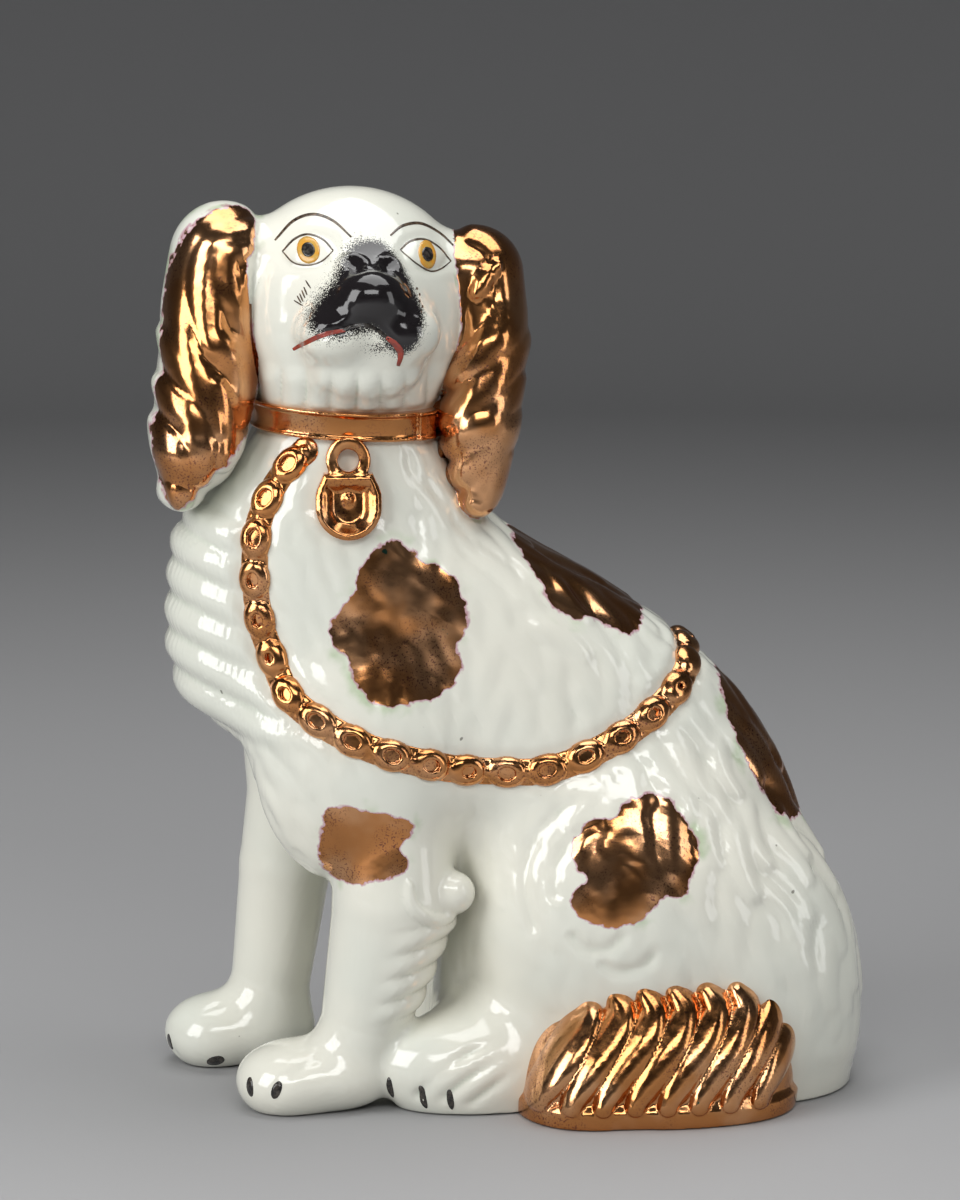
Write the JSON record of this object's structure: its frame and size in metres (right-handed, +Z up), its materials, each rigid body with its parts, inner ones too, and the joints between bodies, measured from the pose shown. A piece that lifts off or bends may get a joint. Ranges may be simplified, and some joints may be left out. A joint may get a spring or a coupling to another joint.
{
  "type": "ceramic dog figurine",
  "caption": "Seated spaniel mantel figurine in hollow white-glazed earthenware with long lustre ears, collar, padlock, chain and a curled tail.",
  "frame": {"origin": "on the standing face, in the parting plane of the two half shells, midway along the dog", "axes": "+Z up, the dog's chest towards -X, its display side and its face towards -Y"},
  "size_m": [0.2466, 0.1345, 0.3169],
  "materials": {
    "white_glaze": "glossy lead glaze over white earthenware",
    "copper_lustre": "glossy metallic copper lustre over glaze",
    "bare_earthenware": "unglazed biscuit, matt"
  },
  "bodies": {
    "root": {"shell_display_side": "white_glaze", "shell_back": "white_glaze", "foreleg_left": "white_glaze", "foreleg_right": "white_glaze", "ear_left": "copper_lustre", "ear_right": "copper_lustre", "collar": "copper_lustre", "padlock": "copper_lustre", "chain": "copper_lustre", "tail_plume": "copper_lustre", "base_slab": "bare_earthenware", "seam_roll": "bare_earthenware"}
  },
  "joints": []
}
